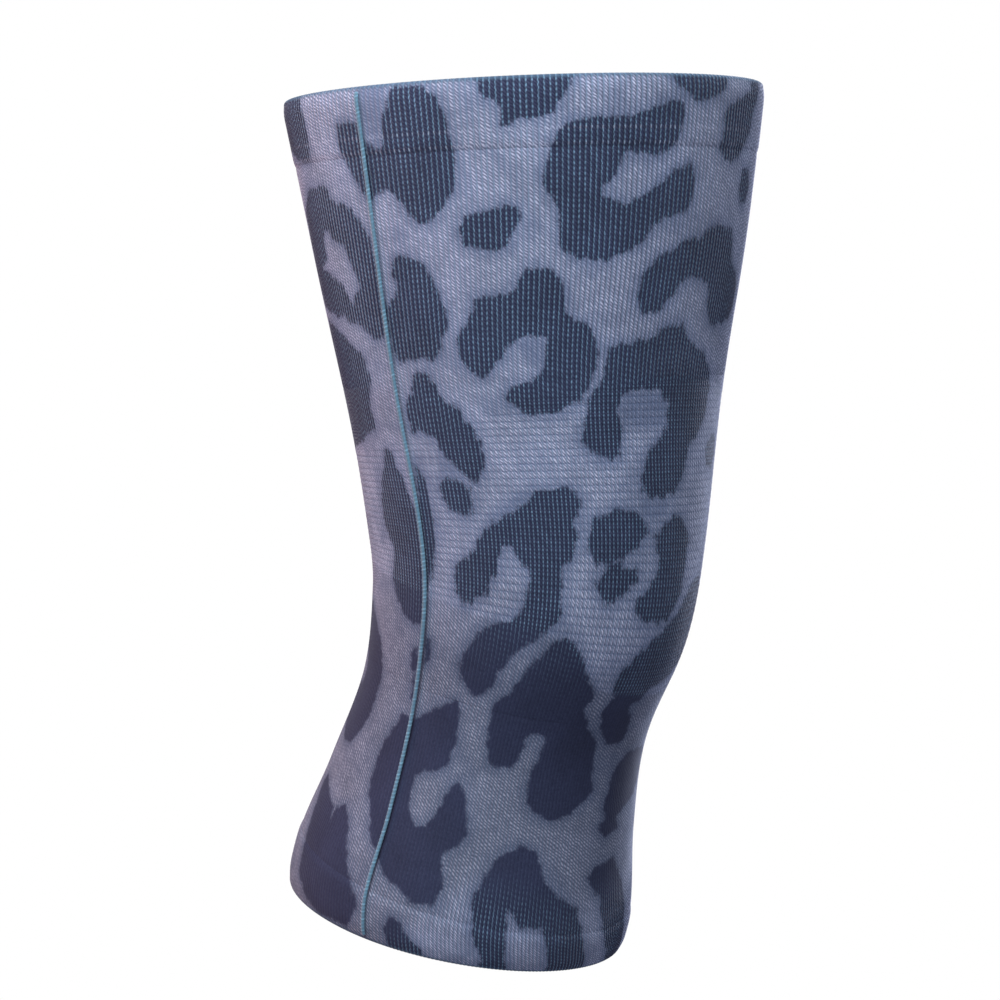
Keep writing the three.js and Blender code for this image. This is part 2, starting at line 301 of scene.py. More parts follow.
@dataclass(frozen=True)
class SpottedPrint:
    """A leopard print in outlines, charted for the side with the seam and turned round for the far side.

    join is how softly spots run together, clear is how far from a patch its distance is still measured, and
    haze_fade is how far a haze fades out, in millimetres. Patches that cover fewer degrees than narrowest_turned
    lie on the charted side alone.
    """

    join: float = 1.2
    clear: float = 6.0
    haze_fade: float = 3.0
    narrowest_turned: float = 7.0
    patches: tuple[Patch, ...] = (
        # The thigh's hem
        dark((-116, 168), (-114, 158), (-114, 150), (-116, 146), (-122, 146), (-130, 149), (-137, 151),
             (-140, 160), (-137, 168)),
        dark((-95, 156), (-99, 156), (-100, 150), (-99, 145), (-97, 141), (-95, 137), (-93.5, 133), (-91, 131.5),
             (-89, 134.5), (-85, 134.5), (-82, 131), (-80, 126), (-77.5, 124), (-75, 124), (-71.5, 127),
             (-68.5, 131.5), (-66.5, 136.5), (-66, 142.5), (-67, 148.5), (-68, 156), (-69.5, 161), (-72, 164),
             (-75.5, 166), (-80.5, 166), (-82, 162.5), (-83, 158), (-85, 157), (-85.5, 148), (-88, 147),
             (-91.5, 152), (-92.5, 156)),
        haze((-91, 168), (-83, 168), (-83, 158), (-84.5, 147), (-92, 147)),
        dark((-61, 168), (-60, 164.5), (-58.5, 160), (-56, 159.5), (-55, 157), (-55, 152), (-53, 152), (-52, 153),
             (-49.5, 154.5), (-45.5, 154), (-42.5, 155.5), (-41, 159.5), (-39, 163), (-36.5, 168)),
        dark((-13, 168), (-12.5, 165.5), (-10, 162), (-7.5, 160.5), (-5, 159), (-2, 158.5), (0.5, 160), (3.5, 161),
             (5.5, 163.5), (8, 168)),
        dark((6, 157), (10, 158.5), (15, 161), (19, 163), (20, 168), (27, 168), (24, 160), (21.5, 154), (21, 151),
             (19, 147), (16, 143.5), (12, 141), (8, 142), (5, 145), (6, 151)),
        dark((19, 139.5), (24, 139.5), (27, 133), (24, 129), (20, 128.5), (18, 132)),
        # The middle of the thigh
        dark((-124, 135), (-120, 137.5), (-115, 137), (-110.5, 138), (-108, 135), (-107, 132.5), (-103.5, 131.5),
             (-100, 129.5), (-96.5, 126), (-93.5, 120.5), (-92.5, 113.5), (-92.5, 105), (-93, 95), (-94, 89),
             (-96.5, 89), (-99.5, 88.5), (-100.5, 91), (-103.5, 93), (-106, 94), (-109.5, 94), (-113, 97.5),
             (-117, 96), (-122, 98), (-131, 100), (-134, 106), (-134, 120), (-131, 130)),
        light((-115, 123.5), (-112.5, 123), (-110.5, 120.5), (-106, 118.5), (-103.5, 113.5), (-101.5, 108),
              (-101.5, 105), (-104, 103), (-106, 100.5), (-107.5, 102), (-110.5, 107), (-116, 109), (-119, 110.5),
              (-122, 112), (-117, 115.5), (-117.5, 119.5)),
        dark((-67, 122.5), (-67, 120), (-66, 117), (-62.5, 115), (-57, 114.5), (-54.5, 116), (-53.5, 119.5),
             (-52, 123), (-51, 125.5), (-52, 128), (-55, 128.5), (-59, 127), (-64, 126)),
        dark((-9, 158), (-8.5, 154), (-10, 148), (-11.5, 145), (-13.5, 143), (-19, 142.5), (-24.5, 143.5),
             (-26, 140.5), (-27, 137.5), (-28.5, 135.5), (-30.5, 133), (-30.5, 130.5), (-27, 129), (-24.5, 128),
             (-21, 130), (-17.5, 132), (-14, 135.5), (-10.5, 138.5), (-6.5, 140), (-4, 139.5), (-3, 135),
             (-3.5, 130), (-5.5, 126.5), (-8.5, 124.5), (-12.5, 124), (-16, 121.5), (-18, 119), (-19, 116.5),
             (-21.5, 114.5), (-25, 113), (-28.5, 111), (-34, 111), (-38.5, 112), (-41, 114.5), (-42, 118),
             (-41.5, 124), (-42.5, 129), (-45, 133), (-45.5, 136.5), (-44.5, 141), (-43, 147), (-40.5, 151),
             (-38.5, 153.5), (-34, 154), (-30.5, 154), (-24.5, 154), (-21, 155), (-19, 156.5), (-15.5, 158),
             (-12, 158.5)),
        dark((-19, 106), (-18.5, 103), (-19.5, 100), (-19, 96), (-17, 94), (-14.5, 94), (-11, 95), (-9, 97.5),
             (-7, 100), (-6, 103), (-3.5, 104), (-1.5, 106), (0, 105), (4, 104.5), (6.5, 103), (7.5, 99), (8, 95),
             (10.5, 91), (14, 89.5), (19.5, 90.5), (25, 92), (29, 97), (29, 103), (25, 107), (20, 110.5),
             (18, 113), (18, 117), (17, 120.5), (14, 121), (8, 122), (5, 121.5), (3, 119.5), (2, 118), (-3, 118),
             (-6.5, 116), (-10, 113.5), (-14, 112), (-17, 108.5)),
        dark((-92, 99.5), (-89.5, 100.5), (-87, 103), (-87.5, 112), (-86, 114), (-82.5, 114), (-79.5, 113),
             (-76.5, 110.5), (-75, 106), (-73.5, 100.5), (-72, 95), (-72.5, 91), (-75, 87.5), (-75.5, 83.5),
             (-78.5, 81.5), (-82.5, 82.5), (-86, 81.5), (-89, 81.5), (-92, 82.5)),
        # Above the kneecap
        dark((-64.5, 99.5), (-61.5, 100.5), (-56.5, 101), (-53.5, 102.5), (-52, 106), (-49.5, 109), (-46.5, 109.5),
             (-44, 108.5), (-41.5, 105), (-40, 100.5), (-40, 95), (-37.5, 93), (-34, 91), (-32, 87.5), (-30.5, 84),
             (-30.5, 80), (-31.5, 75), (-33.5, 71), (-35.5, 67.5), (-39.5, 66), (-42.5, 64), (-46.5, 63.5),
             (-51, 64), (-55.5, 66.5), (-57.5, 69), (-56.5, 72.5), (-52, 73.5), (-50, 74), (-47.5, 76),
             (-45.5, 79), (-45.5, 87), (-50, 88), (-54.5, 86), (-57, 82.5), (-59.5, 80), (-61.5, 76.5), (-64, 75),
             (-67, 77.5), (-69.5, 81), (-70.5, 85), (-69.5, 89), (-67, 92.5), (-65, 97.5)),
        haze((-54, 85.5), (-50, 88), (-44.5, 87), (-44.5, 79), (-49, 79)),
        dark((-27.5, 83.5), (-24, 84.5), (-17, 85.5), (-12.5, 86.5), (-10.5, 89), (-6, 90.5), (-2, 90), (0, 87.5),
             (3.5, 84), (8.5, 81.5), (12, 78.5), (15.5, 75), (17, 71.5), (16.5, 66.5), (15, 61.5), (10.5, 56),
             (7, 53.5), (5.5, 50), (4.5, 46.5), (2, 41.5), (-0.5, 39.5), (-6, 39), (-11, 39.5), (-14.5, 41),
             (-15, 45), (-13, 50), (-11, 53.5), (-7.5, 56.5), (-5.5, 59), (-5.5, 66), (-9, 69.5), (-16, 70.5),
             (-22.5, 69), (-24, 65), (-22, 58.5), (-22.5, 55), (-23, 51.5), (-25.5, 50), (-29, 50.5), (-33, 53.5),
             (-35.5, 56), (-34.5, 59), (-33, 63.5), (-33.5, 66.5), (-31.5, 71), (-29, 74), (-28, 77.5), (-28, 80)),
        haze((-24, 70), (-5, 70), (-4, 59.5), (-14, 59), (-22.5, 60.5)),
        dark((18, 51), (20, 54.5), (25, 56.5), (30, 55), (31, 50), (26, 46.5), (20, 47)),
        dark((-131, 96), (-124, 94.5), (-118.5, 91.5), (-114.5, 89), (-110.5, 86.5), (-106, 84.5), (-105, 82.5),
             (-106, 80), (-104.5, 76.5), (-106, 73.5), (-108, 69), (-107, 64), (-106.5, 61.5), (-108, 60),
             (-113, 59), (-118.5, 57), (-123.5, 55.5), (-134, 54), (-140, 65), (-140, 85)),
        dark((-86, 76), (-84, 78), (-80.5, 77.5), (-78.5, 74), (-77.5, 71), (-75, 68), (-71.5, 66), (-70, 62.5),
             (-67.5, 60), (-66, 56), (-65.5, 51.5), (-66, 46.5), (-68.5, 44), (-70.5, 45), (-73.5, 47.5),
             (-75.5, 49), (-77.5, 51), (-79, 52.5), (-80, 56), (-82.5, 58.5), (-86, 59.5), (-89.5, 60), (-90, 63.5),
             (-90, 67.5), (-89.5, 70), (-87.5, 71.5)),
        dark((-80.5, 44), (-78.5, 45.5), (-75.5, 45), (-73, 44), (-71, 41.5), (-70, 38.5), (-70.5, 35),
             (-73.5, 33.5), (-75.5, 34.5), (-78.5, 36), (-80, 39), (-81, 41.5)),
        haze((-80.5, 51), (-76, 50), (-72, 45), (-80, 43)),
        # The knee
        dark((-104, 53.5), (-102, 54.5), (-100, 53.5), (-98.5, 49), (-96.5, 46), (-95, 41.5), (-92, 35), (-90, 20),
             (-88.5, 5), (-89.5, -2), (-93.5, -3), (-100.5, 0), (-104.5, 5), (-107, 10), (-106, 15), (-105, 20),
             (-107.5, 25), (-110.5, 31), (-109.5, 38.5), (-108.5, 43.5), (-106, 48.5)),
        haze((-112, 48), (-107, 50), (-108, 25), (-114, 22)),
        dark((-90.5, 50), (-88, 46.5), (-86, 43.5), (-85.5, 36.5), (-84.5, 30), (-85.5, 20), (-86.5, 15),
             (-88, 10), (-90, 10), (-91, 30)),
        dark((-67.5, 28.5), (-65.5, 31), (-61.5, 33.5), (-57, 36), (-53, 38), (-49.5, 41.5), (-45.5, 42),
             (-41, 42.5), (-37.5, 42), (-35.5, 39), (-35.5, 35), (-37.5, 32.5), (-35.5, 29.5), (-37, 24),
             (-41, 20.5), (-40.5, 18), (-40, 8), (-42, 6), (-46, 3), (-50, 0), (-53, -2), (-54.5, -5.5),
             (-57, -9), (-58, -14), (-60.5, -17.5), (-63, -19), (-66, -18), (-70, -14.5), (-72, -11), (-71, -7),
             (-69, -2), (-65, 3.5), (-58, 6), (-52.5, 9), (-53, 12), (-51.5, 15), (-51, 18), (-52.5, 20),
             (-55, 23), (-58, 26), (-60, 25), (-62, 22), (-62.5, 18), (-66, 12), (-73, 8), (-77, 12), (-77, 19),
             (-71, 23)),
        haze((-66, 33), (-58, 39), (-50, 43), (-50, 36), (-58, 30), (-66, 26)),
        dark((-32, 31), (-31, 33.5), (-27.5, 35), (-23.5, 36.5), (-17, 36), (-14.5, 34.5), (-13, 33.5), (-11, 30),
             (-15, 26), (-20, 23.5), (-24, 21.5), (-29, 22), (-33, 26)),
        dark((-29.5, 17), (-27, 20), (-26, 22), (-20.5, 23.5), (-20, 21), (-15.5, 21), (-14.5, 18.5), (-18, 15),
             (-22, 13), (-26, 13)),
        haze((-15, 39), (-3, 39), (-4, 34), (-14, 33)),
        dark((-9, 30), (-6, 30), (-4, 32.5), (-0.5, 34.5), (2, 34.5), (5, 33.5), (8, 30), (10, 26.5), (9, 25),
             (8, 20), (7, 15), (5, 11), (0, 8.5), (-10, 9), (-14, 11), (-14, 14), (-9, 16), (-6.5, 19), (-6.5, 23)),
        dark((-10, 0), (-5, 4), (0, 6.5), (5, 9.5), (10, 12.5), (14, 15), (18, 17), (25, 18), (31, 13), (33, 5),
             (30, -3), (20, -6), (14, -8), (4.5, -11), (3, -13), (-2, -16), (0, -18), (5, -25), (3, -28), (-6, -29),
             (-9, -26), (-12, -23), (-14.5, -18), (-12, -12), (-14.5, -7), (-13, -3)),
        dark((-37, 4), (-41, 2.5), (-43, 0), (-46, -5), (-49, -9), (-51, -16), (-54, -17), (-56, -19.5),
             (-56, -25), (-54.5, -34), (-52, -39), (-48, -40), (-44, -39), (-41, -36), (-40, -27), (-36, -27),
             (-32, -29), (-34.5, -36), (-36, -45), (-34, -50), (-31, -53), (-26, -54.5), (-20, -54.5), (-12, -50),
             (-6, -45), (-9.5, -36), (-11, -28), (-17, -23), (-22, -17), (-20.5, -11), (-25, -7), (-29, -2),
             (-33, 3)),
        # The shin and the calf
        dark((-134, -5), (-127, -3.5), (-120, -9), (-115, -13), (-112, -18), (-109.5, -24), (-110.5, -30),
             (-112.5, -40), (-115, -45), (-120, -52), (-128, -53), (-138, -49), (-143, -41), (-138, -34),
             (-129, -33), (-128, -28), (-129, -22), (-138, -21), (-143, -13)),
        dark((-87, -5.5), (-85, -6), (-84, -10), (-85, -14.5), (-86.5, -14)),
        dark((-93, -10.5), (-90.5, -10), (-89.5, -14), (-90, -18), (-89, -27), (-91, -27), (-91, -18), (-93, -16)),
        dark((-93.5, -33), (-89.5, -33), (-87, -33), (-78, -27), (-70, -21.5), (-68.5, -24), (-67, -30), (-67, -38),
             (-68, -44), (-72, -46), (-76, -47), (-79.5, -50), (-80, -56), (-78, -62), (-74, -65), (-70, -64),
             (-67, -58), (-65, -50), (-62, -47), (-58, -52), (-54, -62), (-56, -66), (-62, -71), (-59, -80),
             (-59.5, -86), (-63, -87), (-68, -88), (-72, -85.5), (-79, -83), (-85.5, -79), (-88, -76), (-92, -73),
             (-94, -68), (-97.5, -63), (-99.5, -57), (-99.5, -47), (-97, -40)),
        dark((-34, -63.5), (-28, -64), (-24, -72), (-17, -77.5), (-8, -81), (-4, -90), (0, -100), (1, -107),
             (-16, -107), (-18.5, -95), (-22, -87), (-30, -88), (-35, -82), (-34, -94), (-31, -107), (-40, -107),
             (-41, -99), (-46, -92), (-48, -80), (-44.5, -73), (-43, -69), (-40, -67)),
        dark((-74, -94.5), (-70, -95), (-66, -99), (-61, -103), (-60, -107), (-72, -107), (-75, -99)),
        dark((-131, -66.5), (-122, -70), (-114, -73), (-113, -77), (-112.5, -72), (-108, -69), (-103, -73),
             (-98, -82), (-93, -89), (-87, -95), (-88, -101), (-90, -104), (-104, -105), (-112, -103), (-121, -98),
             (-127, -84), (-134, -70)),
        haze((-118, -98), (-108, -105), (-98, -106), (-104, -98)),
        dark((10, -33), (25, -33), (31, -36), (34, -43), (28, -50), (20, -51), (10, -55), (13, -58.5), (4, -61),
             (-1, -57), (4, -54), (1, -52), (1, -49), (3, -46), (3, -40), (6, -37)),
        dark((-4, -73), (-1, -70), (11, -68), (18, -74), (24, -85), (26, -107), (14, -107), (12, -100), (7, -90),
             (3, -79)),
    )

    def depth(self, outline: np.ndarray, along: np.ndarray, degrees: np.ndarray, scale: np.ndarray) -> np.ndarray:
        """Measure how deep points lie in one outline.

        Args:
            outline: The outline's azimuth and along, a row for each corner.
            along: The points' along.
            degrees: The points' azimuth in degrees.
            scale: Millimetres a degree at the points.

        Returns:
            Millimetres inside the outline, negative outside, no lower than -clear.
        """
        least = 1e-6
        deepest = np.full(along.shape, -self.clear)
        centre = outline[:, 0].mean()
        turned = (degrees - centre + 180) % 360 - 180
        corners = outline - (centre, 0)
        low, high = corners.min(axis=0), corners.max(axis=0)
        near = (along > low[1] - self.clear) & (along < high[1] + self.clear)
        near &= (turned * scale > low[0] * scale - self.clear) & (turned * scale < high[0] * scale + self.clear)
        x, y, k = turned[near] * scale[near], along[near], scale[near]
        closest, within = np.full(x.shape, np.inf), np.zeros(x.shape, dtype=bool)
        for (turn_0, y0), (turn_1, y1) in zip(corners, np.roll(corners, -1, axis=0)):
            x0, run_x, run_y = turn_0 * k, (turn_1 - turn_0) * k, y1 - y0
            share = ((x - x0) * run_x + (y - y0) * run_y) / np.maximum(run_x**2 + run_y**2, least)
            share = np.clip(share, 0, 1)
            closest = np.minimum(closest, np.hypot(x - x0 - share * run_x, y - y0 - share * run_y))
            if run_y != 0:
                within ^= ((y0 > y) != (y1 > y)) & (x < x0 + (y - y0) / run_y * run_x)
        deepest[near] = np.maximum(np.where(within, closest, -closest), -self.clear)
        return deepest

    def both_sides(self, form: LegForm) -> list[Patch]:
        """List the charted patches, and the wider ones again, turned half round the leg and end for end.

        Args:
            form: The form that the print lies on.

        Returns:
            The patches of the whole sleeve.
        """
        both_rims = form.length_above_knee - form.length_below_knee
        turned = []
        for patch in self.patches:
            azimuths = [azimuth for azimuth, _ in patch.outline]
            if max(azimuths) - min(azimuths) < self.narrowest_turned:
                continue
            outline = tuple((azimuth + 180, both_rims - along) for azimuth, along in patch.outline)
            turned.append(Patch(patch.tone, outline))
        return [*self.patches, *turned]

    def lay(self, form: LegForm, along: np.ndarray, azimuth: np.ndarray) -> tuple[np.ndarray, np.ndarray]:
        """Lay the print on points of the sleeve.

        Args:
            form: The form that the print lies on.
            along: The points' along.
            azimuth: The points' azimuth in radians.

        Returns:
            Millimetres inside the dark spots, and the haze from 0 to 1.
        """
        degrees = np.degrees(azimuth)
        scale = form.millimetres_a_degree(along)
        spot = np.full(along.shape, -self.clear)
        cleared = np.full(along.shape, -self.clear)
        hazed = np.full(along.shape, -self.clear)
        for patch in self.both_sides(form):
            depth = self.depth(np.array(patch.outline, dtype=float), along, degrees, scale)
            if patch.tone is Tone.DARK:
                share = np.clip(0.5 + 0.5 * (depth - spot) / self.join, 0, 1)
                spot = spot + (depth - spot) * share + self.join * share * (1 - share)
            elif patch.tone is Tone.LIGHT:
                cleared = np.maximum(cleared, depth)
            else:
                hazed = np.maximum(hazed, depth)
        return np.minimum(spot, -cleared), ease(hazed, -self.haze_fade, self.haze_fade / 2)


@dataclass(frozen=True)
class KneeZone:
    """The wedge over the knee that is knitted in cross ridges, and the closely drawn-in knit below it.

    upper and lower are its edges, as azimuth in degrees and along. band_top and band_bottom are the ends of the
    stretch of the tube that holds it. The drawn-in knit fades out upwards over dense_top_fade, and its lower end
    drops from dense_bottom to dense_bottom_behind between the azimuths of dense_sides.
    """

    ridge_pitch: float = 2.1
    ridge_height: float = 0.07
    ribs_kept: float = 0.4
    edge: tuple[float, float] = (-0.5, 1.0)
    band_top: float = 74.0
    band_bottom: float = -22.0
    dense_top: float = 36.0
    dense_top_fade: float = 56.0
    dense_bottom: float = -92.0
    dense_bottom_behind: float = -124.0
    dense_sides: tuple[float, float] = (52.0, 80.0)
    dense_fade: float = 22.0
    upper: tuple[tuple[float, float], ...] = (
        (-180, 50), (-140, 52), (-110, 54), (-80, 58), (-52, 68), (-15, 72), (15, 73), (50, 67), (90, 56), (180, 50),
    )
    lower: tuple[tuple[float, float], ...] = (
        (-180, 15), (-140, 13), (-105, 10), (-65, 6), (-48, 5), (-36, 3), (-28, -3), (-20, -10), (0, -12),
        (22, -13), (50, 0), (90, 9), (180, 15),
    )

    def inside(self, along: np.ndarray, azimuth: np.ndarray) -> np.ndarray:
        """Measure how far places lie inside the zone.

        Args:
            along: The places' along.
            azimuth: Their azimuth in radians.

        Returns:
            Millimetres inside the nearer edge, negative outside.
        """
        degrees = (np.degrees(azimuth) + 180) % 360 - 180
        top = np.interp(degrees, *np.array(self.upper).T)
        bottom = np.interp(degrees, *np.array(self.lower).T)
        return np.minimum(top - along, along - bottom)

    def dense(self, along: np.ndarray, azimuth: np.ndarray) -> np.ndarray:
        """Find how closely the knit is drawn in, which it is below the zone as far as the calf.

        Args:
            along: The places' along.
            azimuth: Their azimuth in radians.

        Returns:
            A share from 0 to 1 for each place.
        """
        below = ease(-self.inside(along, azimuth), *self.edge)
        turned = np.degrees(np.abs((azimuth + math.pi) % math.tau - math.pi))
        bottom = np.interp(turned, self.dense_sides, (self.dense_bottom, self.dense_bottom_behind))
        reaches = ease(along, bottom, bottom + self.dense_fade)
        return below * reaches * ease(self.dense_top - along, 0, self.dense_top_fade)


@dataclass(frozen=True)
class KnitGauge:
    """How the sleeve is knitted: the wales round it, its ribs, its layers and its hems.

    rib_height is from a valley to the crest beside it, and drawn_in_flat is the share of it that drawn-in knit
    loses. stitch_rows are how far the rows of stitches in the thigh's hem lie under its rim.
    """

    wales: int = 260
    rib_height: float = 0.26
    drawn_in_flat: float = 0.96
    thickness: float = 1.5
    hem_step: float = 0.3
    thigh_hem_depth: float = 22.0
    calf_hem_depth: float = 17.0
    stitch_rows: tuple[float, float] = (16.0, 20.6)
    rim_roll: float = 1.2
    rim_roll_depth: float = 6.0

    def roll(self, from_rim: np.ndarray | float) -> np.ndarray:
        """How far a hem's outer face has rolled inwards at a distance from its rim."""
        return self.rim_roll * np.clip(1 - np.asarray(from_rim) / self.rim_roll_depth, 0, 1) ** 2


class Tree:
    """The nodes of a material or of the surroundings, under construction."""

    def __init__(self, owner: bpy.types.Material | bpy.types.World) -> None:
        """Start from no nodes.

        Args:
            owner: The material or the surroundings that the nodes are for.
        """
        self.owner = owner
        owner.use_nodes = True
        self.nodes = owner.node_tree.nodes
        self.links = owner.node_tree.links
        self.nodes.clear()

    def add(self, kind: str, *inputs: Any, names: dict[str, Any] | None = None, out: int = 0, **settings: Any) -> Any:
        """Add a node with its settings and links.

        Args:
            kind: The node's type, without ShaderNode.
            inputs: A socket or a value for each input that the settings leave on, in order.
            names: Sockets or values for inputs by name.
            out: Which of the outputs that are on is given back.
            settings: The node's own properties.

        Returns:
            The output socket.
        """
        node = self.nodes.new("ShaderNode" + kind)
        for setting, value in settings.items():
            setattr(node, setting, value)
        active = [socket for socket in node.inputs if socket.enabled]
        for socket, value in [*zip(active, inputs), *((node.inputs[k], v) for k, v in (names or {}).items())]:
            if isinstance(value, bpy.types.NodeSocket):
                self.links.new(value, socket)
            elif value is not None:
                socket.default_value = value
        shown = [socket for socket in node.outputs if socket.enabled]
        return shown[out] if shown else None


@dataclass(frozen=True)
class Noise:
    """A noise that wanders over the knit: the size of its blotches in millimetres, and its octaves past the first."""

    size: float
    detail: float


@dataclass(frozen=True)
class PrintedKnit:
    """Elastic rib knit of nylon over a covered rubber yarn, heat-printed on its outer face.

    The print reaches the rib crests alone, so the teal yarn shows as dotted lines in the valleys of dark spots.
    Pitches, grains and edges are in millimetres, and drops and wanders of the stitches in courses. A range is where
    a step starts and where it ends: a rib, a ridge and a dot run from -1 in the valley to 1 on the crest, and a
    light from 0 to 1. A share is how much of a colour is laid over the one beneath.
    """

    name: str
    zone: KneeZone
    stitch_rows: tuple[float, ...] = ()
    folds: tuple[float, ...] = ()
    ground_shadow: str = "#555C72"
    ground: str = "#7E859E"
    ground_highlight: str = "#B4BACF"
    valley_yarn: str = "#5B7992"
    spot: str = "#1B2035"
    spot_lit: str = "#2D334A"
    hazed: str = "#414F6B"
    bare_yarn: str = "#6C93A6"
    fold_yarn: str = "#33465A"
    grain: Noise = Noise(3.0, 2.0)
    fine_grain: Noise = Noise(0.8, 1.0)
    cloud: Noise = Noise(13.0, 2.0)
    mottle: Noise = Noise(16.0, 3.0)
    mottle_range: tuple[float, float] = (0.3, 0.7)
    mottle_tones: tuple[float, float] = (0.88, 1.12)
    # The slanted stitches, with a painted highlight on each and painted shade in the rib valleys
    valley_range: tuple[float, float] = (-1.0, -0.25)
    tick_pitch: float = 1.12
    tick_drop: float = 1.35
    wale_drop: float = 0.76
    wale_wander: float = 0.3
    grain_wander: float = 1.5
    faintest_tick: float = 0.55
    valley_light: float = 0.5
    # The zone's cross ridges, with painted highlights on their crests, and their holes, painted dark as shade
    zone_wander: float = 2.0
    zone_range: tuple[float, float] = (0.4, 1.6)
    ridge_valley_range: tuple[float, float] = (-0.97, -0.62)
    ridge_highlight_range: tuple[float, float] = (0.1, 1.0)
    ridge_highlight_share: float = 0.05
    hole_range: tuple[float, float] = (0.2, 0.9)
    hole_join: float = 0.3
    hole_share: float = 0.64
    # The ground, with painted stitch highlights and shade, and painted shade where the knit is drawn in
    lit_range: tuple[float, float] = (0.1, 0.6)
    bright_range: tuple[float, float] = (0.45, 1.0)
    bright_share: float = 0.55
    valley_share: float = 0.4
    halo_wander: float = 5.0
    halo_range: tuple[float, float] = (-2.5, 3.0)
    halo_share: float = 0.55
    cloud_range: tuple[float, float] = (0.5, 0.7)
    cloud_share: float = 0.38
    haze_share: float = 0.6
    drawn_in_shade: float = 0.65
    # The spots, their dots and their edges
    dot_pitch: float = 1.6
    dots_a_ridge: float = 2.0
    dot_range: tuple[float, float] = (-0.6, 0.7)
    dot_join: float = 0.25
    faintest_dot: float = 0.45
    drawn_in_dot: float = 0.06
    fine_range: tuple[float, float] = (0.3, 0.7)
    fine_lights: tuple[float, float] = (0.15, 0.5)
    edge_jitter: float = 0.7
    edge_grain: float = 3.2
    edge_fine_grain: float = 1.6
    edge_softness: float = 0.8
    # The rows of a hem
    stitch_row_range: tuple[float, float] = (0.2, 0.75)
    stitch_row_share: float = 0.3
    fold_range: tuple[float, float] = (0.5, 1.7)
    fold_share: float = 0.85
    fold_valley_share: float = 0.35
    # The surface, whose strength of relief and sheen are given for open and for drawn-in knit
    relief: float = 0.22
    tick_relief: float = 0.55
    hole_relief: float = -0.7
    relief_strengths: tuple[float, float] = (0.6, 0.25)
    sheens: tuple[float, float] = (0.24, 0.07)
    sheen_tint: str = "#DDE0F2"
    sheen_roughness: float = 0.35
    roughness: float = 0.88
    ior: float = 1.45
    specular: float = 0.15

    def build(self) -> bpy.types.Material:
        """Build the material from the knit map, the print and the zone that the mesh carries.

        Returns:
            The material.
        """
        tree = KnitTree(self)
        tree.lay_stitches()
        tree.lay_cross_ridges()
        colour = tree.printed_colour(tree.ground_colour(), tree.spot_colour())
        tree.finish(tree.toned(tree.hem_rows(colour)))
        return tree.owner


